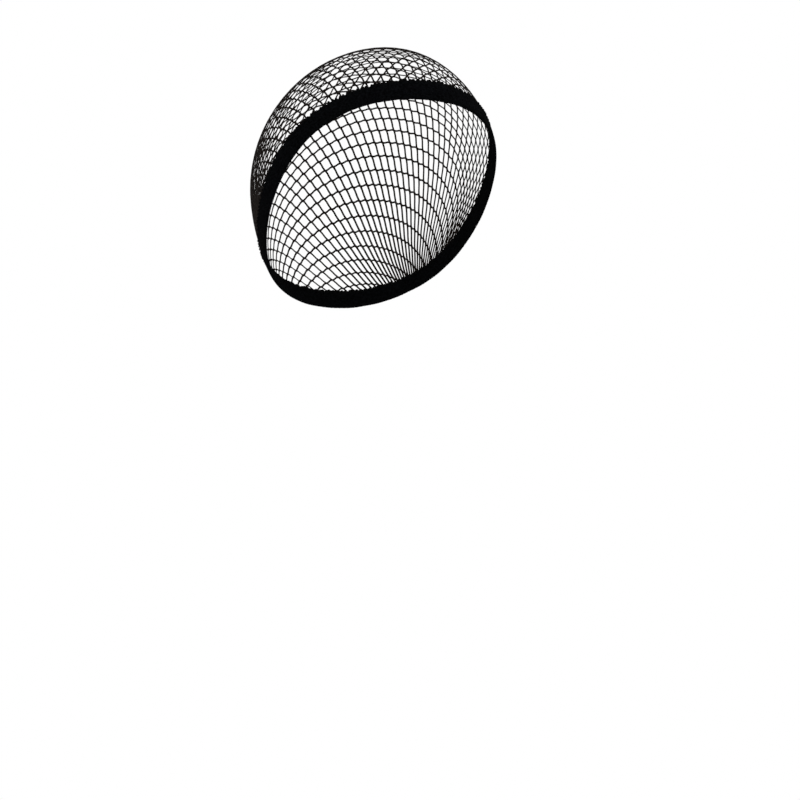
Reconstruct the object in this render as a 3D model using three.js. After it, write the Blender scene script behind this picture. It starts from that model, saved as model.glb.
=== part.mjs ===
// A hairnet in its worn form: a dome of open diamond net joined to a wide stretch band.
// Millimetres, +Z up, the front towards -Y.
// The origin is the inside of the net at the top of the crown.
import * as THREE from 'three';

// Driving dimensions

// The worn form: two half ellipsoids of one width and length that meet at the widest level
const FORM = {
  halfWidth: 75.0,
  halfLength: 93.5,
  heightAbove: 83.8,
  depthBelow: 105.9,
};

// Lower edge of the band: height over the widest level, in cosine waves round from the front
const BAND_LOWER_EDGE = [
  { waves: 0, height: -21.0 },
  { waves: 1, height: 37.3 },
  { waves: 2, height: 1.0 },
  { waves: 3, height: -2.4 },
  { waves: 4, height: -0.8 },
];

// The stretch band: its width lies along the form, more at the front, sides and back than between them,
// and its faces lie at these depths under the form
const BAND = {
  width: 15.4,
  widthSwing: 1.0,
  lean: 0.94,
  outerDepth: -0.3,
  innerDepth: 1.7,
  edgeRound: 0.5,
  steps: 96,
};

// The net: a coarse diamond mesh whose rows fan out from a line across the form
const NET = {
  outerDepth: 0.2,
  innerDepth: 1.4,
  rowPitch: 27.0,
  cellWidth: 34.6,
  strandWidth: 3.6,
  cornerPull: 0.88,
  smallestGap: 5.0,
  smallestCell: 4.0,
  edgeStep: 7.0,
  gapToBand: 0.4,
};

// The line that the net's rows fan out from, seen from the side
const ROW_HINGE = new THREE.Vector3(0, 15, -90);

const COLOURS = {
  net: 0x1c1613,
  band: 0x0a0b0d,
};

// The form

// Point where a ray that starts inside the form leaves it
function leavePoint(start, direction) {
  for (const height of [FORM.heightAbove, FORM.depthBelow]) {
    const size = new THREE.Vector3(FORM.halfWidth, FORM.halfLength, height);
    const from = start.clone().divide(size);
    const along = direction.clone().divide(size);
    const half = from.dot(along) / along.lengthSq();
    const rest = (from.lengthSq() - 1) / along.lengthSq();
    const reach = -half + Math.sqrt(half * half - rest);
    const point = start.clone().addScaledVector(direction, reach);
    if (point.z >= 0 || height === FORM.depthBelow) return point;
  }
}

// Outward normal of the form at one of its points
function formNormal(point) {
  const height = point.z >= 0 ? FORM.heightAbove : FORM.depthBelow;
  return new THREE.Vector3(
    point.x / FORM.halfWidth ** 2,
    point.y / FORM.halfLength ** 2,
    point.z / height ** 2,
  ).normalize();
}

function sink(point, depth) {
  return point.clone().addScaledVector(formNormal(point), -depth);
}

// The angle round the form, from the front towards +X
function angleRound(point) {
  return Math.atan2(point.x, -point.y);
}

// Point of the form at an angle round it and a height over the widest level
function formAtHeight(angle, z) {
  const height = z >= 0 ? FORM.heightAbove : FORM.depthBelow;
  const shrink = Math.sqrt(1 - (z / height) ** 2);
  const reach = shrink / Math.hypot(Math.sin(angle) / FORM.halfWidth, Math.cos(angle) / FORM.halfLength);
  return new THREE.Vector3(reach * Math.sin(angle), -reach * Math.cos(angle), z);
}

// The band

function lowerEdge(angle) {
  return BAND_LOWER_EDGE.reduce((sum, row) => sum + row.height * Math.cos(row.waves * angle), 0);
}

function lowerEdgeSlope(angle) {
  const meanRadius = (FORM.halfWidth + FORM.halfLength) / 2;
  const rises = BAND_LOWER_EDGE.map((row) => -row.waves * row.height * Math.sin(row.waves * angle));
  return rises.reduce((sum, rise) => sum + rise) / meanRadius;
}

// The band's height at an angle: its width, leaning with the form and measured square to its edge
function bandRise(angle) {
  const width = BAND.width + BAND.widthSwing * Math.cos(4 * angle);
  return width * BAND.lean * Math.hypot(1, lowerEdgeSlope(angle));
}

function upperEdge(angle) {
  return lowerEdge(angle) + bandRise(angle);
}

// Section of the band, counter-clockwise: share of its rise, and depth under the form
function bandSection() {
  const rim = BAND.edgeRound / BAND.width;
  return [
    { rise: rim, depth: BAND.outerDepth },
    { rise: 0.35, depth: BAND.outerDepth },
    { rise: 0.65, depth: BAND.outerDepth },
    { rise: 1 - rim, depth: BAND.outerDepth },
    { rise: 1, depth: BAND.outerDepth + BAND.edgeRound },
    { rise: 1, depth: BAND.innerDepth - BAND.edgeRound },
    { rise: 1 - rim, depth: BAND.innerDepth },
    { rise: 0.5, depth: BAND.innerDepth },
    { rise: rim, depth: BAND.innerDepth },
    { rise: 0, depth: BAND.innerDepth - BAND.edgeRound },
    { rise: 0, depth: BAND.outerDepth + BAND.edgeRound },
  ];
}

// Closed ring: the section is set at each angle and joined to the next, the last to the first
function bandGeometry() {
  const section = bandSection();
  const points = [];
  const triangles = [];
  for (let step = 0; step < BAND.steps; step += 1) {
    const angle = (2 * Math.PI * step) / BAND.steps;
    for (const corner of section) {
      const z = lowerEdge(angle) + corner.rise * bandRise(angle);
      points.push(sink(formAtHeight(angle, z), corner.depth));
    }
  }
  const count = section.length;
  for (let step = 0; step < BAND.steps; step += 1) {
    const here = step * count;
    const next = ((step + 1) % BAND.steps) * count;
    for (let k = 0; k < count; k += 1) {
      const up = (k + 1) % count;
      triangles.push([here + k, next + k, next + up], [here + k, next + up, here + up]);
    }
  }
  return solidGeometry(points, triangles);
}

// The net's chart: row and column numbers, which give each knot a place on the form

// Table of a curve's length, measured in straight steps
function lengthTable(curve, from, to, steps) {
  const rows = [{ at: from, length: 0 }];
  let last = curve(from);
  for (let step = 1; step <= steps; step += 1) {
    const at = from + ((to - from) * step) / steps;
    const point = curve(at);
    rows.push({ at, length: rows[step - 1].length + point.distanceTo(last) });
    last = point;
  }
  return rows;
}

// Where on its curve a length table reaches a length
function atLength(rows, length) {
  let k = rows.findIndex((row) => row.length >= length);
  if (k < 0) k = rows.length - 1;
  k = Math.max(k, 1);
  const [low, high] = [rows[k - 1], rows[k]];
  return low.at + ((high.at - low.at) * (length - low.length)) / (high.length - low.length);
}

// Point of the form in the row plane at one tilt, turned sideways about the hinge line
function rowPoint(tilt, turn) {
  const forward = new THREE.Vector3(0, -Math.cos(tilt), Math.sin(tilt));
  const direction = forward.multiplyScalar(Math.cos(turn)).setX(Math.sin(turn));
  return leavePoint(ROW_HINGE, direction);
}

const FIRST_TILT = THREE.MathUtils.degToRad(20);
const LAST_TILT = THREE.MathUtils.degToRad(190);
const WIDEST_TURN = THREE.MathUtils.degToRad(115);
const TABLE_STEPS = 160;
const middleLine = lengthTable((tilt) => rowPoint(tilt, 0), FIRST_TILT, LAST_TILT, TABLE_STEPS);
const rowTables = new Map();

// Surface point of a place in the chart: rows are counted along the middle, columns along the row
function netPoint(row, column) {
  const tilt = atLength(middleLine, (row * NET.rowPitch) / 2);
  if (!rowTables.has(row)) {
    rowTables.set(row, lengthTable((turn) => rowPoint(tilt, turn), 0, WIDEST_TURN, TABLE_STEPS));
  }
  const along = (column * NET.cellWidth) / 2;
  return rowPoint(tilt, Math.sign(along) * atLength(rowTables.get(row), Math.abs(along)));
}

// Height over the net's own lower border, which keeps a small gap to the band
function overBorder(place) {
  const point = netPoint(place.row, place.column);
  return point.z - upperEdge(angleRound(point)) - NET.gapToBand;
}

function between(a, b, share) {
  return {
    row: a.row + (b.row - a.row) * share,
    column: a.column + (b.column - a.column) * share,
  };
}

// Place on the line from a, over the border, to b, under it, where it meets the border
const HALVINGS = 24;
function meetBorder(a, b) {
  let low = 0;
  let high = 1;
  for (let step = 0; step < HALVINGS; step += 1) {
    const middle = (low + high) / 2;
    if (overBorder(between(a, b, middle)) >= 0) low = middle;
    else high = middle;
  }
  return between(a, b, low);
}

// Outline of one diamond cell: its four knots and the middles of its strands
function cellOutline(row, column) {
  const knots = [
    { row, column: column + 1 },
    { row: row + 1, column },
    { row, column: column - 1 },
    { row: row - 1, column },
  ];
  return knots.flatMap((knot, k) => [
    { ...knot, corner: true },
    between(knot, knots[(k + 1) % 4], 0.5),
  ]);
}

// Extra places along the border, between the two where a cell's outline is cut, each found
// within a reach, in rows or columns, on either side of the straight way between them
const BORDER_REACH = 0.4;
function borderPlaces(first, last) {
  const distance = netPoint(first.row, first.column).distanceTo(netPoint(last.row, last.column));
  const count = Math.max(1, Math.ceil(distance / NET.edgeStep));
  const way = { row: last.row - first.row, column: last.column - first.column };
  const scale = BORDER_REACH / Math.hypot(way.row, way.column);
  const across = { row: scale * way.column, column: -scale * way.row };
  const places = [];
  for (let k = 1; k < count; k += 1) {
    const middle = between(first, last, k / count);
    const oneSide = { row: middle.row + across.row, column: middle.column + across.column };
    const otherSide = { row: middle.row - across.row, column: middle.column - across.column };
    const [over, under] = overBorder(oneSide) >= 0 ? [oneSide, otherSide] : [otherSide, oneSide];
    places.push(meetBorder(over, under));
  }
  return places;
}

// The part of an outline that lies over the border
function trimOutline(outline) {
  const kept = [];
  outline.forEach((place, k) => {
    const next = outline[(k + 1) % outline.length];
    const here = overBorder(place) >= 0;
    const there = overBorder(next) >= 0;
    if (here) kept.push(place);
    if (here && !there) kept.push({ ...meetBorder(place, next), leaves: true });
    if (!here && there) kept.push(meetBorder(next, place));
  });
  return kept.flatMap((place, k) => {
    if (!place.leaves) return [place];
    return [place, ...borderPlaces(place, kept[(k + 1) % kept.length])];
  });
}

// Middle of an outline in the chart, weighed by area
function middlePlace(outline) {
  const first = outline[0];
  const sum = { area: 0, row: 0, column: 0 };
  for (let k = 1; k + 1 < outline.length; k += 1) {
    const [a, b] = [outline[k], outline[k + 1]];
    const area =
      (a.column - first.column) * (b.row - first.row) - (b.column - first.column) * (a.row - first.row);
    sum.area += area;
    sum.row += (area * (first.row + a.row + b.row)) / 3;
    sum.column += (area * (first.column + a.column + b.column)) / 3;
  }
  return { row: sum.row / sum.area, column: sum.column / sum.area };
}

// Area of an outline, and for each of its places the share of the way from the middle to it
// that stays half a strand inside every edge
function measureOutline(outline, middle) {
  const centre = netPoint(middle.row, middle.column);
  const normal = formNormal(centre);
  const points = outline.map((place) => netPoint(place.row, place.column));
  const edges = points.map((point, k) => {
    const along = points[(k + 1) % points.length].clone().sub(point).normalize();
    const inward = normal.clone().cross(along);
    return { inward, point, fromCentre: inward.dot(centre.clone().sub(point)) };
  });
  const area = points.reduce((sum, point, k) => {
    const next = points[(k + 1) % points.length];
    return sum + point.clone().sub(centre).cross(next.clone().sub(centre)).dot(normal) / 2;
  }, 0);
  const shares = points.map((target) => {
    const limits = edges.map((edge) => {
      const nearer = edge.fromCentre - edge.inward.dot(target.clone().sub(edge.point));
      return nearer > 0 ? (edge.fromCentre - NET.strandWidth / 2) / nearer : 1;
    });
    return Math.min(...limits);
  });
  const inradius = Math.min(...edges.map((edge) => edge.fromCentre));
  return { area, shares, inradius };
}

// The net as one solid: each cell is a frame round its gap, and a cell too small for one is filled
function netGeometry() {
  const points = [];
  const triangles = [];
  const pairs = new Map();
  const borders = new Map();

  // Outer and inner point of a place, made once
  function pairAt(place) {
    const key = `${place.row.toFixed(5)} ${place.column.toFixed(5)}`;
    if (!pairs.has(key)) {
      const point = netPoint(place.row, place.column);
      points.push(sink(point, NET.outerDepth), sink(point, NET.innerDepth));
      pairs.set(key, points.length - 2);
    }
    return pairs.get(key);
  }

  // A triangle on the outer face, with its like on the inner face, given as pair numbers
  function addFaces(a, b, c) {
    triangles.push([a, b, c], [a + 1, c + 1, b + 1]);
  }

  // Wall from the outer to the inner face, with the solid on the left of the way from a to b
  function addWall(a, b) {
    triangles.push([a, a + 1, b + 1], [a, b + 1, b]);
  }

  // One cell: the frame between its outline and its gap, and the gap's wall
  function addCell(outline, middle, { shares, inradius }) {
    const rim = outline.map(pairAt);
    const open = 2 * inradius - NET.strandWidth > NET.smallestGap;
    const hole = outline.map((place, k) => {
      const pull = place.corner ? NET.cornerPull * shares[k] : shares[k];
      return open ? pairAt(between(middle, place, pull)) : pairAt(middle);
    });
    rim.forEach((here, k) => {
      const j = (k + 1) % rim.length;
      addFaces(here, rim[j], hole[k]);
      if (open) {
        addFaces(rim[j], hole[j], hole[k]);
        addWall(hole[j], hole[k]);
      }
      const back = `${rim[j]} ${here}`;
      if (borders.has(back)) borders.delete(back);
      else borders.set(`${here} ${rim[j]}`, [here, rim[j]]);
    });
  }

  const rowCount = Math.ceil((2 * middleLine[TABLE_STEPS].length) / NET.rowPitch) - 1;
  const columnCount = Math.ceil((2 * Math.PI * FORM.halfWidth) / NET.cellWidth);
  for (let row = 1; row < rowCount; row += 1) {
    for (let column = -columnCount; column <= columnCount; column += 1) {
      if ((row + column) % 2 !== 0) continue;
      const outline = trimOutline(cellOutline(row, column));
      if (outline.length < 3) continue;
      const middle = middlePlace(outline);
      const measures = measureOutline(outline, middle);
      if (measures.area >= NET.smallestCell) addCell(outline, middle, measures);
    }
  }
  for (const [a, b] of borders.values()) addWall(a, b);
  return solidGeometry(points, triangles);
}

// The part

function solidGeometry(points, triangles) {
  const geometry = new THREE.BufferGeometry();
  const numbers = points.flatMap((point) => point.toArray());
  geometry.setAttribute('position', new THREE.Float32BufferAttribute(numbers, 3));
  geometry.setIndex(triangles.flat());
  geometry.computeVertexNormals();
  return geometry;
}

function addPiece(parent, name, geometry, colour, roughness) {
  const material = new THREE.MeshStandardMaterial({ color: colour, roughness, metalness: 0 });
  const mesh = new THREE.Mesh(geometry, material);
  mesh.name = name;
  parent.add(mesh);
}

// The inside of the net at the top of the crown is the origin, so the form hangs below it
const hairnet = new THREE.Group();
const worn = new THREE.Group();
worn.position.z = NET.innerDepth - FORM.heightAbove;
hairnet.add(worn);
addPiece(worn, 'crown_net', netGeometry(), COLOURS.net, 0.85);
addPiece(worn, 'edge_band', bandGeometry(), COLOURS.band, 0.95);

export default hairnet;
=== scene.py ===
"""Looks of the hairnet: a fine diamond net of single yarns on a plush stretch band with an overlock edge.

Sizes of the net, the band and the thread are in millimetres in the form's own frame, whose zero is the
middle of the widest level. They are turned into metres in the part's frame when a mesh is made.
"""
import math

import bpy
import numpy as np
from mathutils import Matrix, Vector


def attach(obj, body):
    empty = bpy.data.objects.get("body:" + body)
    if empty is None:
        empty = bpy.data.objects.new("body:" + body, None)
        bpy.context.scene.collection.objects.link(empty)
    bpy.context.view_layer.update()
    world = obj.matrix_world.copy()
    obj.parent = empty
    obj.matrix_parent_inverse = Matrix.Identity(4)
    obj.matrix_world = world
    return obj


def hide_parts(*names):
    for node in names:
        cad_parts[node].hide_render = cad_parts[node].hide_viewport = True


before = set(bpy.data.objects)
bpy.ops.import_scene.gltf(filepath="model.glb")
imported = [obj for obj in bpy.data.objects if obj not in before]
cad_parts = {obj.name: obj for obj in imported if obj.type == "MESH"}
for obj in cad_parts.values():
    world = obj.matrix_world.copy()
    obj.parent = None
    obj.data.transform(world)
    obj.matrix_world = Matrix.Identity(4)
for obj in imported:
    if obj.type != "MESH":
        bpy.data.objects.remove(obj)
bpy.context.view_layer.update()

MM = 0.001
FULL_TURN = 2 * np.pi

# The worn form: two half ellipsoids of one width and length that meet at the widest level
HALF_WIDTH = 75.0
HALF_LENGTH = 93.5
HEIGHT_ABOVE = 83.8
DEPTH_BELOW = 105.9
MEAN_RADIUS = (HALF_WIDTH + HALF_LENGTH) / 2

# The form's zero in the part's frame, whose origin is the inside of the net at the top
NET_INNER_DEPTH = 1.4
FORM_ZERO = np.array([0.0, 0.0, NET_INNER_DEPTH - HEIGHT_ABOVE])

# Soft swells over the half ellipsoids, at the front and at each side
SWELLS = [
    {"height": 1.26, "towards": (0.0, -0.641, 0.768), "sharpness": 8.5},
    {"height": 1.03, "towards": (0.983, -0.075, 0.166), "sharpness": 5.0},
]

# The band: cosine waves of its lower edge round from the front, its width and the swing of that in whole
# waves round the form, the share of the width that stands upright, and the depths of its two faces
LOWER_EDGE_WAVES = np.array([-21.0, 37.3, 1.0, -2.4, -0.8])
BAND_WIDTH = 14.7
WIDTH_SWING = 1.0
WIDTH_WAVES = 4
BAND_LEAN = 0.94
BAND_OUTER_DEPTH = -0.3
BAND_INNER_DEPTH = 1.7
BAND_MIDDLE_DEPTH = (BAND_OUTER_DEPTH + BAND_INNER_DEPTH) / 2
BAND_HALF_DEPTH = (BAND_INNER_DEPTH - BAND_OUTER_DEPTH) / 2

# Waver of the band's edges, a row for each wave: whole waves round the form, height. It fades from an edge
# to the band's middle with this power
UPPER_WAVER = [(19, 0.10), (31, 0.16), (43, 0.16), (61, 0.15), (79, 0.12), (101, 0.10), (157, 0.10)]
LOWER_WAVER = [(9, 0.16), (17, 0.10), (31, 0.08), (173, 0.04)]
UPPER_SEED = 3
LOWER_SEED = 5
WAVER_FADE = 3

# The band's mesh: steps round the form, up each face and round each edge
BAND_STEPS = 1200
FACE_STEPS = 26
ROUND_STEPS = 5

# The band's plush: loops round the form and across the band, their relief, and the random fuzz on it
KNIT_COLUMNS = 264
KNIT_ROWS = 8
KNIT_RELIEF = 0.13
FUZZ = 0.05
FUZZ_SEED = 7

# The overlock thread: its loops round the form, the steps in each, its sides and half width, a loop's
# length in its UV map, and the steps that are repeated where it closes
LOOP_COUNT = 200
LOOP_STEPS = 18
THREAD_SIDES = 6
THREAD_RADIUS = 0.75
LOOP_LENGTH = 8.0
SEAM_STEPS = 2

# Its loops: their drop below the band's upper edge, their reach above and below that place with the random
# part of each, their swing in depth and its lead as an angle, and their random slip, in loops
LOOP_DROP = 0.3
REACH_ABOVE = 0.5
REACH_ABOVE_VARIES = 0.5
REACH_BELOW = 2.2
REACH_BELOW_VARIES = 0.6
DEPTH_SWING = 0.85
DEPTH_LEAD = 0.7
LOOP_SLIP = 0.35
LOOP_SEED = 11

# The net's rows fan out from a line across the form, which is seen from the side at this place. They are
# counted by half cells along the middle line of the dome
HINGE_Y = 36.0
HINGE_Z = -70.0
ROW_PITCH = 9.19
FIRST_ROW = -1.6
KNOT_ROWS = np.arange(4, 90)

# Its columns, counted by half cells along a row, and how far they lean for each millimetre behind a place
CELL_WIDTH = 12.37
COLUMN_LEAN = 0.132
LEAN_FROM = 85.4
KNOT_COLUMNS = np.arange(-34, 35)

# Away from the front row, rows shift and cells gather with the square of the distance. Both are whole at
# the reach, and stop growing at the farthest share of it
FRONT_ROW = 150.0
FRONT_REACH = 50.0
FARTHEST_SHARE = 1.2
ROW_SPREAD = -0.93
CELL_GATHER = 0.115

# Bow of a row at the side reach, its growth over each front reach, and its easing farther out
ROW_BOW = 2.07
ROW_BOW_GROWTH = -0.148
BOW_EASE = 0.242
SIDE_REACH = 60.0

# Opening of the rows behind the crown: where it starts, how softly, and where along a row it is whole
OPEN_FROM = 190.0
OPEN_SOFTNESS = 60.0
OPEN_REACH = 145.0

# Tables that turn the net's lengths into angles: how far they go and their numbers of entries, the margin
# that a place keeps inside the last entry, and the rounds in which a knot's place is worked out
CHART_TILT = math.radians(200)
TILT_COUNT = 401
CHART_TURN = math.radians(120)
TURN_COUNT = 241
CHART_LENGTH = 190.0
LENGTH_COUNT = 381
TABLE_MARGIN = 0.001
PLACE_ROUNDS = 8

# The net's yarn: half width, thickness over width, half width at a knot, and how far a knot reaches
YARN_RADIUS = 0.62
YARN_FLATNESS = 0.34
KNOT_RADIUS = 0.78
KNOT_REACH = 0.9
STRAND_STEPS = 5
STRAND_SIDES = 6

# Its strands: how much they bend to run together at the knots, their depth in the form and how far the two
# ways lie off it, how far below the band's upper edge they end, and the shortest share of one that is made
STRAND_BEND = 0.8
STRAND_DEPTH = 0.8
STRAND_OVERLAP = 0.14
TUCK = 1.8
SHORTEST_SHARE = 0.08
CUT_HALVINGS = 16

# Finishes: where the speckle goes from its dark to its light colour, and the slant of the yarn's twist
SPECKLE_FROM = 0.35
SPECKLE_TO = 0.68
TWIST_SLANT = math.radians(35)

# Photograph's view: from the front, turned towards -X, from below, rolled a little
VIEW_AZIMUTH = math.radians(-29.99)
VIEW_ELEVATION = math.radians(-20.76)
VIEW_ROLL = math.radians(-5.25)
VIEW_DISTANCE = 2000.0
VIEW_AIM = (-17.59, 140.53)
FOCAL_PIXELS = 3107.0
IMAGE_PIXELS = 800.0
SENSOR_WIDTH = 36.0

# The stage, in metres and watts
VIEW_LIMIT = 50.0
FLOOR_HEIGHT = -1.15
FLOOR_HALF_SIDE = 6.0
LIGHT_AIM = (0, 0, -0.07)
LIGHTS = [
    {"name": "key", "place": (-0.9, -1.3, 1.1), "size": 1.2, "watts": 30},
    {"name": "fill", "place": (1.2, -0.8, 0.4), "size": 1.5, "watts": 10},
]


# The form

def unit(vectors):
    """Vectors made one long: each over its own length."""
    return vectors / np.linalg.norm(vectors, axis=-1, keepdims=True)


def leave_point(tilt, turn):
    """Where a ray from the middle of the hinge line, tilted up from the front and turned sideways, leaves
    the form: the positive root of the ellipsoid's quadratic, with the lower half's depth where that root
    is low."""
    tilt, turn = np.broadcast_arrays(tilt, turn)
    ray = np.stack([np.sin(turn), -np.cos(turn) * np.cos(tilt), np.cos(turn) * np.sin(tilt)], -1)
    start = np.array([0.0, HINGE_Y, HINGE_Z])

    def root(height):
        size = np.array([HALF_WIDTH, HALF_LENGTH, height])
        along = ray / size
        square = (along ** 2).sum(-1)
        half = (along * (start / size)).sum(-1) / square
        rest = (((start / size) ** 2).sum() - 1) / square
        return start + (-half + np.sqrt(half ** 2 - rest))[..., None] * ray

    upper = root(HEIGHT_ABOVE)
    return np.where(upper[..., 2:] >= 0, upper, root(DEPTH_BELOW))


def form_normal(points):
    """Outward normal: each coordinate over the square of its half axis, made one long."""
    height = np.where(points[..., 2] >= 0, HEIGHT_ABOVE, DEPTH_BELOW)
    size = np.stack([np.full_like(height, HALF_WIDTH), np.full_like(height, HALF_LENGTH), height], -1)
    return unit(points / size ** 2)


def swell(normal):
    """Height of the form over its ellipsoids, the same on both sides: for each swell, an exponential of the
    cosine between the normal, turned to the +X side, and the swell's direction."""
    turned = np.concatenate([np.abs(normal[..., :1]), normal[..., 1:]], -1)
    height = np.zeros(normal.shape[:-1])
    for row in SWELLS:
        cosine = turned @ unit(np.array(row["towards"]))
        height = height + row["height"] * np.exp(row["sharpness"] * (cosine - 1))
    return height


def sink(points, depth):
    """Points of the ellipsoids moved out by the swell and in by a depth, both along the normal."""
    normal = form_normal(points)
    return points + normal * (swell(normal) - depth)[..., None]


def form_at_height(angle, z):
    """Point of the ellipsoids at an angle round from the front and a height: the level's own ellipse."""
    height = np.where(z >= 0, HEIGHT_ABOVE, DEPTH_BELOW)
    shrink = np.sqrt(1 - (z / height) ** 2)
    reach = shrink / np.hypot(np.sin(angle) / HALF_WIDTH, np.cos(angle) / HALF_LENGTH)
    return np.stack([reach * np.sin(angle), -reach * np.cos(angle), z], -1)


# The band's edges

def lower_edge(angle):
    """Height of the band's lower edge: a sum of cosine waves."""
    waves = np.arange(len(LOWER_EDGE_WAVES))
    return (LOWER_EDGE_WAVES * np.cos(waves * np.asarray(angle)[..., None])).sum(-1)


def band_rise(angle):
    """Height of the band: its width, leaning with the form, over the cosine of its edge's slope."""
    waves = np.arange(len(LOWER_EDGE_WAVES))
    climb = -(waves * LOWER_EDGE_WAVES * np.sin(waves * np.asarray(angle)[..., None])).sum(-1)
    width = BAND_WIDTH + WIDTH_SWING * np.cos(WIDTH_WAVES * angle)
    return width * BAND_LEAN * np.hypot(1, climb / MEAN_RADIUS)


def over_band(points):
    """Height of points over the band's upper edge."""
    angle = np.arctan2(points[..., 0], -points[..., 1])
    return points[..., 2] - lower_edge(angle) - band_rise(angle)


def waver(angle, seed, sizes):
    """Waver of an edge: a sum of whole sine waves round the form with seeded phases."""
    phase = np.random.default_rng(seed).uniform(0, FULL_TURN, len(sizes))
    waves = np.array([wave for wave, _ in sizes])
    heights = np.array([height for _, height in sizes])
    return (heights * np.sin(waves * np.asarray(angle)[..., None] + phase)).sum(-1)


# Meshes

def quad_mesh(name, points, quads, uv, material):
    """Mesh object of four-sided faces from whole arrays: points in form millimetres, faces, and each
    point's UV. It sits at the origin and rides on the part's one body."""
    mesh = bpy.data.meshes.new(name)
    mesh.vertices.add(len(points))
    mesh.vertices.foreach_set("co", ((points + FORM_ZERO) * MM).astype(np.float32).ravel())
    mesh.loops.add(quads.size)
    mesh.loops.foreach_set("vertex_index", quads.astype(np.int32).ravel())
    mesh.polygons.add(len(quads))
    mesh.polygons.foreach_set("loop_start", np.arange(0, quads.size, 4, dtype=np.int32))
    mesh.polygons.foreach_set("use_smooth", np.ones(len(quads), dtype=bool))
    layer = mesh.uv_layers.new(name="UVMap")
    layer.data.foreach_set("uv", uv[quads.ravel()].astype(np.float32).ravel())
    mesh.update(calc_edges=True)
    mesh.validate()
    mesh.materials.append(material)
    piece = bpy.data.objects.new(name, mesh)
    bpy.context.scene.collection.objects.link(piece)
    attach(piece, "root")
    return piece


def ring_points(path, normal, across_radius, normal_radius, sides):
    """Rings round paths: each path point plus its side and normal vectors, weighed by a circle's cosine
    and sine. Path is (..., steps, 3), and the result (..., steps, sides, 3)."""
    along = unit(np.gradient(path, axis=-2))
    side = unit(np.cross(normal, along))
    up = np.cross(along, side)
    turn = np.linspace(0, FULL_TURN, sides, endpoint=False)
    across = side[..., None, :] * np.cos(turn)[:, None] * across_radius[..., None, None]
    upward = up[..., None, :] * np.sin(turn)[:, None] * normal_radius[..., None, None]
    return path[..., None, :] + across + upward


def ring_quads(steps, sides, closed):
    """Faces between a tube's rings: each ring joined to the next, and the last to the first if closed."""
    last = steps if closed else steps - 1
    ring, side = np.meshgrid(np.arange(last), np.arange(sides), indexing="ij")
    here = ring * sides
    there = (ring + 1) % steps * sides
    beside = (side + 1) % sides
    corners = [here + side, here + beside, there + beside, there + side]
    return np.stack(corners, -1).reshape(-1, 4)


# The net

def chart_tables():
    """Tables that turn lengths into angles: the tilt at each length along the middle line of the dome, and
    for each tilt the sideways turn at each length along its row. A length is a sum of short steps."""
    tilts = np.linspace(0.0, CHART_TILT, TILT_COUNT)
    middle = leave_point(tilts, np.zeros_like(tilts))
    middle_length = np.append(0, np.cumsum(np.linalg.norm(np.diff(middle, axis=0), axis=-1)))
    turns = np.linspace(0.0, CHART_TURN, TURN_COUNT)
    rows = leave_point(tilts[:, None], turns[None, :])
    steps = np.linalg.norm(np.diff(rows, axis=1), axis=-1)
    row_length = np.concatenate([np.zeros((len(tilts), 1)), np.cumsum(steps, axis=1)], axis=1)
    lengths = np.linspace(0.0, CHART_LENGTH, LENGTH_COUNT)
    turn_at = np.stack([np.interp(lengths, row, turns) for row in row_length])
    return tilts, middle_length, lengths, turn_at


CHART = chart_tables()


def table_place(value, table):
    """Entry below a value in an even table that starts at 0, and the share of the way to the next entry,
    held just inside the table's last interval."""
    place = np.clip(value / (table[1] - table[0]), 0, len(table) - 1 - TABLE_MARGIN)
    entry = place.astype(int)
    return entry, place - entry


def net_point(row, column):
    """Point of the form at a row and column of the net: the row gives a length along the middle line, and
    so a tilt; the column gives a length along that row, and so a turn, read from the tables by straight
    lines. Rows bow back with the fourth power of the length along them, eased to a square far out, and
    behind the crown they also open out with its square, so that they don't crowd at the sides. Rows shift
    and cells gather a little with the square of the distance from the front row. The two lengths depend on
    each other, so each is put into the other a few times."""
    tilts, middle_length, lengths, turn_at = CHART
    even_middle = FIRST_ROW + row * ROW_PITCH / 2
    even_along = column * CELL_WIDTH / 2
    bow_size = ROW_BOW * (1 + ROW_BOW_GROWTH * (even_middle - FRONT_ROW) / FRONT_REACH)
    behind = np.maximum(even_middle - OPEN_FROM, 0)
    opening = behind ** 2 / (behind + OPEN_SOFTNESS)
    middle = even_middle
    for _ in range(PLACE_ROUNDS):
        far = np.clip((middle - FRONT_ROW) / FRONT_REACH, -FARTHEST_SHARE, FARTHEST_SHARE)
        along = (even_along + COLUMN_LEAN * (middle - LEAN_FROM)) / (1 + CELL_GATHER * far ** 2)
        along = np.clip(along, -CHART_LENGTH, CHART_LENGTH)
        reach = along / SIDE_REACH
        bow = bow_size * reach ** 4 / (1 + (BOW_EASE * reach) ** 2)
        middle = even_middle + ROW_SPREAD * far ** 2 + bow + opening * (along / OPEN_REACH) ** 2
        middle = np.minimum(middle, middle_length[-1])
    tilt = np.interp(middle, middle_length, tilts)
    near, near_share = table_place(tilt, tilts)
    out, out_share = table_place(np.abs(along), lengths)
    turn_near = turn_at[near, out] * (1 - out_share) + turn_at[near, out + 1] * out_share
    turn_next = turn_at[near + 1, out] * (1 - out_share) + turn_at[near + 1, out + 1] * out_share
    return leave_point(tilt, np.sign(along) * (turn_near * (1 - near_share) + turn_next * near_share))


def strand_place(row, column, way, share):
    """Row and column at a share of the way along a strand, which runs one row on and one column to a side:
    the column grows evenly, and the row partly as a smooth step, so that strands run together at knots."""
    eased = share + STRAND_BEND * (share ** 2 * (3 - 2 * share) - share)
    return row + eased, column + way * share


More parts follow.
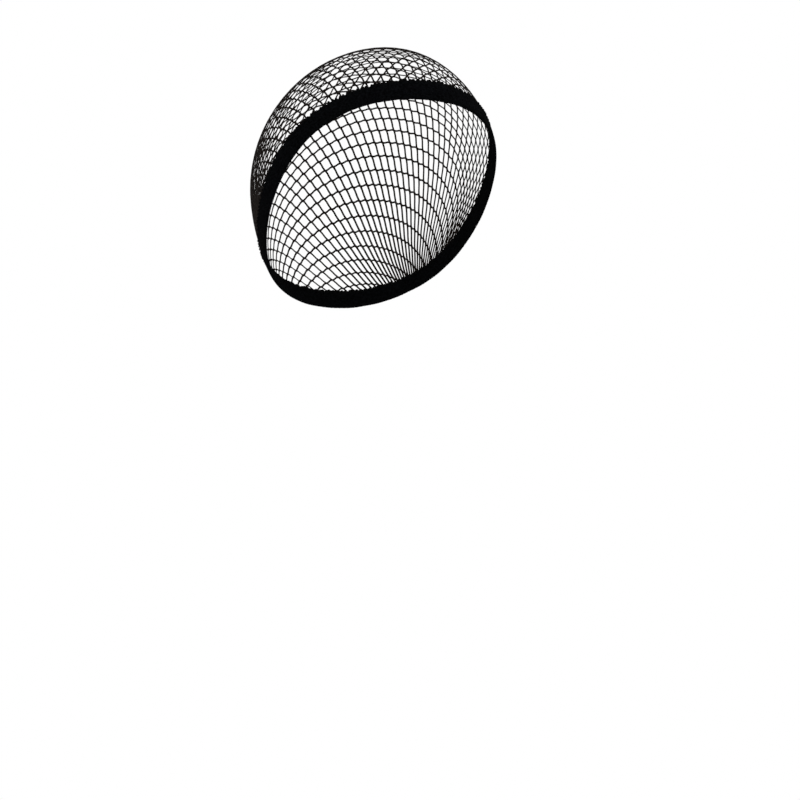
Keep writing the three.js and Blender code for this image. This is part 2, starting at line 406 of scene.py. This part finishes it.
def net_strands():
    """Row, column and sideways way of every strand that shows, and the share where it starts and ends:
    strands that cross the band's upper edge are cut a little under it, by halving."""
    row, column, way = np.meshgrid(KNOT_ROWS, KNOT_COLUMNS, np.array([-1, 1]), indexing="ij")
    even = (row + column) % 2 == 0
    row, column, way = row[even], column[even], way[even]

    def shows(share):
        return over_band(net_point(*strand_place(row, column, way, share))) > -TUCK

    low = np.zeros(len(row))
    high = np.ones(len(row))
    start_shows = shows(low)
    end_shows = shows(high)
    for _ in range(CUT_HALVINGS):
        middle = (low + high) / 2
        same = shows(middle) == start_shows
        low, high = np.where(same, middle, low), np.where(same, high, middle)
    begin = np.where(start_shows, 0, high)
    end = np.where(end_shows, 1, low)
    kept = (start_shows | end_shows) & (end - begin > SHORTEST_SHARE)
    return row[kept], column[kept], way[kept], begin[kept], end[kept]


def make_net(material):
    """All strands as closed tubes: rings along each strand, spaced as a cosine, so closer at its knots, and
    wider there, with the two leaning ways a little apart in depth so that one passes over the other."""
    row, column, way, begin, end = (values[:, None] for values in net_strands())
    step = 0.5 - 0.5 * np.cos(np.linspace(0, np.pi, STRAND_STEPS + 1))
    share = begin + (end - begin) * step
    points = net_point(*strand_place(row, column, way, share))
    path = sink(points, STRAND_DEPTH + STRAND_OVERLAP * way)
    length = np.linalg.norm(points[:, -1] - points[:, 0], axis=-1)[:, None] / (end - begin)
    from_knot = np.minimum(share, 1 - share) * length
    radius = YARN_RADIUS + (KNOT_RADIUS - YARN_RADIUS) * np.exp(-((from_knot / KNOT_REACH) ** 2))
    rings = ring_points(path, form_normal(points), radius, radius * YARN_FLATNESS, STRAND_SIDES)
    count, steps, sides = rings.shape[:3]
    tube = ring_quads(steps, sides, closed=False)
    # Two faces close the six corners of the first ring, and two those of the last
    caps = np.array([[3, 2, 1, 0], [5, 4, 3, 0], [0, 1, 2, 3], [0, 3, 4, 5]])
    caps[2:] += (steps - 1) * sides
    quads = np.concatenate([tube, caps])
    quads = (quads[None] + (np.arange(count) * steps * sides)[:, None, None]).reshape(-1, 4)
    uv = np.stack(np.broadcast_arrays((share * length)[..., None], np.arange(sides) / sides), -1)
    return quad_mesh("net", rings.reshape(-1, 3), quads, uv.reshape(-1, 2), material)


# The band

def band_section():
    """Round-ended flat section, from -1 to 1 across the width and through the thickness: two straight faces
    and two half circles, one after the other from the lower end up the outer face."""
    flat = 1 - 2 * BAND_HALF_DEPTH / BAND_WIDTH
    rise = np.linspace(-flat, flat, FACE_STEPS)
    turn = np.linspace(0, np.pi, ROUND_STEPS + 2)[1:-1]
    bulge = (1 - flat) * np.sin(turn)
    height = np.concatenate([rise, flat + bulge, -rise, -flat - bulge])
    face = np.ones(FACE_STEPS)
    thick = np.concatenate([face, np.cos(turn), -face, -np.cos(turn)])
    return height, thick


def knit_relief(angle, height):
    """Height of the plush loops: the product of two slanting cosine waves, which stands high on a grid of
    rows along the band and columns across it, with a seeded fuzz on every point."""
    along = KNIT_COLUMNS * angle / 2
    across = np.pi * KNIT_ROWS * height / 2
    loops = np.cos(along + across) * np.cos(along - across)
    return KNIT_RELIEF * loops + np.random.default_rng(FUZZ_SEED).uniform(-FUZZ, FUZZ, loops.shape)


def make_band(material):
    """Closed ring: the section set at each angle round the form, its height stretched to the band's rise
    and its thickness to the band's depths, with the plush loops on its faces and a waver of its edges."""
    angle = np.linspace(0, FULL_TURN, BAND_STEPS, endpoint=False)[:, None]
    height, thick = (half[None, :] for half in band_section())
    share = 0.5 + 0.5 * height
    upper = waver(angle, UPPER_SEED, UPPER_WAVER)
    lower = waver(angle, LOWER_SEED, LOWER_WAVER)
    edge = np.where(height > 0, upper, lower) * np.abs(height) ** WAVER_FADE
    z = lower_edge(angle) + band_rise(angle) * share + edge
    depth = BAND_MIDDLE_DEPTH - (BAND_HALF_DEPTH + knit_relief(angle, height)) * thick
    points = sink(form_at_height(np.broadcast_to(angle, z.shape), z), depth)
    uv = np.stack(np.broadcast_arrays(angle * MEAN_RADIUS, share * BAND_WIDTH), -1)
    quads = ring_quads(BAND_STEPS, height.size, closed=True)[:, ::-1]
    return quad_mesh("band", points.reshape(-1, 3), quads, uv.reshape(-1, 2), material)


# The overlock edge

def past_seam(line):
    """Closed line with its last steps repeated before it and its first after it, so that slopes close."""
    return np.concatenate([line[-SEAM_STEPS:], line, line[:SEAM_STEPS]])


def make_overlock(material):
    """One closed thread that coils round the band's upper edge: along the edge evenly, up and down it as a
    cosine and in and out as a sine, with each loop's reach and slip drawn at random. Its rings are turned
    by the way along the edge, which the thread itself never follows."""
    steps = LOOP_COUNT * LOOP_STEPS
    place = np.arange(steps) / LOOP_STEPS
    draws = np.random.default_rng(LOOP_SEED).uniform(-1, 1, (3, LOOP_COUNT + 1))
    draws[:, -1] = draws[:, 0]
    above, below, slip = (np.interp(place, np.arange(LOOP_COUNT + 1), draw) for draw in draws)
    angle = FULL_TURN * (place + LOOP_SLIP * slip) / LOOP_COUNT
    swing = np.cos(FULL_TURN * place)
    reach_above = REACH_ABOVE + REACH_ABOVE_VARIES * above
    reach_below = REACH_BELOW + REACH_BELOW_VARIES * below
    edge = lower_edge(angle) + band_rise(angle) + waver(angle, UPPER_SEED, UPPER_WAVER)
    z = edge - LOOP_DROP + swing * np.where(swing > 0, reach_above, reach_below)
    depth = BAND_MIDDLE_DEPTH - DEPTH_SWING * np.sin(FULL_TURN * place + DEPTH_LEAD)
    path = past_seam(sink(form_at_height(angle, z), depth))
    edge_way = np.stack([np.cos(angle) * HALF_WIDTH, np.sin(angle) * HALF_LENGTH, np.zeros(steps)], -1)
    radius = np.full(len(path), THREAD_RADIUS)
    rings = ring_points(path, past_seam(unit(edge_way)), radius, radius, THREAD_SIDES)
    rings = rings[SEAM_STEPS:-SEAM_STEPS]
    around = np.arange(THREAD_SIDES) / THREAD_SIDES
    uv = np.stack(np.broadcast_arrays(place[:, None] * LOOP_LENGTH, around), -1)
    quads = ring_quads(steps, THREAD_SIDES, closed=True)
    return quad_mesh("overlock", rings.reshape(-1, 3), quads, uv.reshape(-1, 2), material)


# Materials

def new_material(name, roughness, specular):
    """Empty finish: its shader with the numbers that are the same all over."""
    material = bpy.data.materials.new(name)
    material.use_nodes = True
    shader = material.node_tree.nodes["Principled BSDF"]
    shader.inputs["Roughness"].default_value = roughness
    shader.inputs["Specular IOR Level"].default_value = specular
    return material, shader


def node(material, kind, **values):
    """New node of a finish: each value goes to the socket of its name, or else to the node's setting."""
    made = material.node_tree.nodes.new(kind)
    for key, value in values.items():
        if key in made.inputs:
            made.inputs[key].default_value = value
        else:
            setattr(made, key, value)
    return made


def link(material, source, target):
    """Link from one node's output to another's input."""
    material.node_tree.links.new(source, target)


def speckle(material, shader, scale, dark, light):
    """Colour from two near colours mixed by fine noise on Object coordinates. Gives back the noise and the
    coordinates for a relief."""
    place = node(material, "ShaderNodeTexCoord")
    noise = node(material, "ShaderNodeTexNoise", Scale=scale, Detail=3.0, Roughness=0.6)
    ramp = node(material, "ShaderNodeValToRGB")
    first, last = ramp.color_ramp.elements
    first.position = SPECKLE_FROM
    last.position = SPECKLE_TO
    first.color = (*dark, 1)
    last.color = (*light, 1)
    link(material, place.outputs["Object"], noise.inputs["Vector"])
    link(material, noise.outputs["Fac"], ramp.inputs["Fac"])
    link(material, ramp.outputs["Color"], shader.inputs["Base Color"])
    return noise.outputs["Fac"], place


def relief(material, shader, height, strength, distance):
    """Fine relief: the surface's normal tilted by the slope of a height, at most a distance in metres."""
    made = node(material, "ShaderNodeBump", Strength=strength, Distance=distance)
    link(material, height, made.inputs["Height"])
    link(material, made.outputs["Normal"], shader.inputs["Normal"])


def yarn_finish():
    """Black-brown net yarn with the slant of its twist: a wave across its turned UV map."""
    material, shader = new_material("net_yarn", roughness=0.85, specular=0.06)
    _, place = speckle(
        material, shader, scale=900.0, dark=(0.0025, 0.0016, 0.0012), light=(0.0085, 0.0052, 0.0036)
    )
    turn = node(material, "ShaderNodeMapping", Rotation=(0, 0, TWIST_SLANT))
    twist = node(material, "ShaderNodeTexWave", Scale=1.1, Distortion=0.6, Detail=1.0)
    link(material, place.outputs["UV"], turn.inputs["Vector"])
    link(material, turn.outputs["Vector"], twist.inputs["Vector"])
    relief(material, shader, twist.outputs["Fac"], strength=0.5, distance=0.0002)
    return material


def plush_finish():
    """Black plush knit with a faint blue fleck: small cells on its UV map with the fleck added to them."""
    material, shader = new_material("stretch_band", roughness=1.0, specular=0.008)
    fleck, place = speckle(
        material, shader, scale=700.0, dark=(0.0002, 0.0002, 0.0003), light=(0.0020, 0.0022, 0.0026)
    )
    loops = node(material, "ShaderNodeTexVoronoi", Scale=1.35, Randomness=0.55)
    link(material, place.outputs["UV"], loops.inputs["Vector"])
    mixed = node(material, "ShaderNodeMath", operation="ADD")
    link(material, loops.outputs["Distance"], mixed.inputs[0])
    link(material, fleck, mixed.inputs[1])
    relief(material, shader, mixed.outputs["Value"], strength=0.7, distance=0.0006)
    return material


def thread_finish():
    """Black overlock thread, rough with its own fleck."""
    material, shader = new_material("overlock_thread", roughness=0.95, specular=0.015)
    fleck, _ = speckle(
        material, shader, scale=1500.0, dark=(0.0006, 0.0006, 0.0007), light=(0.0030, 0.0028, 0.0028)
    )
    relief(material, shader, fleck, strength=0.4, distance=0.0002)
    return material


def floor_finish():
    """Matt white floor with a faint cloud in it."""
    material, shader = new_material("floor", roughness=0.9, specular=0.0)
    speckle(material, shader, scale=2.0, dark=(0.92, 0.92, 0.92), light=(0.95, 0.95, 0.95))
    return material


# Pieces

net = make_net(yarn_finish())
band = make_band(plush_finish())
overlock = make_overlock(thread_finish())
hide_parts("crown_net")
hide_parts("edge_band")


# Stage

def make_floor():
    """Wide flat square under the part, a grid of one face."""
    mesh = bpy.data.meshes.new("floor")
    side = FLOOR_HALF_SIDE
    corners = [(-side, -side), (side, -side), (side, side), (-side, side)]
    mesh.from_pydata([(x, y, FLOOR_HEIGHT) for x, y in corners], [], [(0, 1, 2, 3)])
    mesh.materials.append(floor_finish())
    floor = bpy.data.objects.new("floor", mesh)
    bpy.context.scene.collection.objects.link(floor)


def add_area_light(name, place, size, watts):
    """Square soft light at a place, turned to shine at the lights' common aim."""
    data = bpy.data.lights.new(name, "AREA")
    data.size = size
    data.energy = watts
    lamp = bpy.data.objects.new(name, data)
    lamp.location = place
    lamp.rotation_mode = "QUATERNION"
    lamp.rotation_quaternion = (Vector(LIGHT_AIM) - Vector(place)).to_track_quat("-Z", "Y")
    bpy.context.scene.collection.objects.link(lamp)


def make_world():
    """Plain white surroundings."""
    world = bpy.data.worlds.new("studio")
    world.use_nodes = True
    background = world.node_tree.nodes["Background"]
    background.inputs["Color"].default_value = (1, 1, 1, 1)
    background.inputs["Strength"].default_value = 1.0
    bpy.context.scene.world = world


def make_camera():
    """Camera at the photograph's angle: axes from its azimuth, elevation and roll, set back from the form's
    zero so that this zero lies at the aim, in millimetres right of and above the picture's middle."""
    turn_sine, turn_cosine = math.sin(VIEW_AZIMUTH), math.cos(VIEW_AZIMUTH)
    lift_sine, lift_cosine = math.sin(VIEW_ELEVATION), math.cos(VIEW_ELEVATION)
    back = Vector((turn_sine * lift_cosine, -turn_cosine * lift_cosine, lift_sine))
    level = Vector((turn_cosine, turn_sine, 0))
    rise = back.cross(level)
    right = math.cos(VIEW_ROLL) * level + math.sin(VIEW_ROLL) * rise
    up = math.cos(VIEW_ROLL) * rise - math.sin(VIEW_ROLL) * level
    place = back * VIEW_DISTANCE - right * VIEW_AIM[0] - up * VIEW_AIM[1] + Vector(FORM_ZERO)
    data = bpy.data.cameras.new("camera")
    data.sensor_fit = "HORIZONTAL"
    data.sensor_width = SENSOR_WIDTH
    data.lens = FOCAL_PIXELS / IMAGE_PIXELS * SENSOR_WIDTH
    data.clip_end = VIEW_LIMIT
    camera = bpy.data.objects.new("camera", data)
    turn = Matrix((right, up, back)).transposed().to_4x4()
    camera.matrix_world = Matrix.Translation(place * MM) @ turn
    bpy.context.scene.collection.objects.link(camera)
    bpy.context.scene.camera = camera


make_floor()
make_world()
for light in LIGHTS:
    add_area_light(**light)
make_camera()
bpy.context.scene.view_settings.view_transform = "Standard"
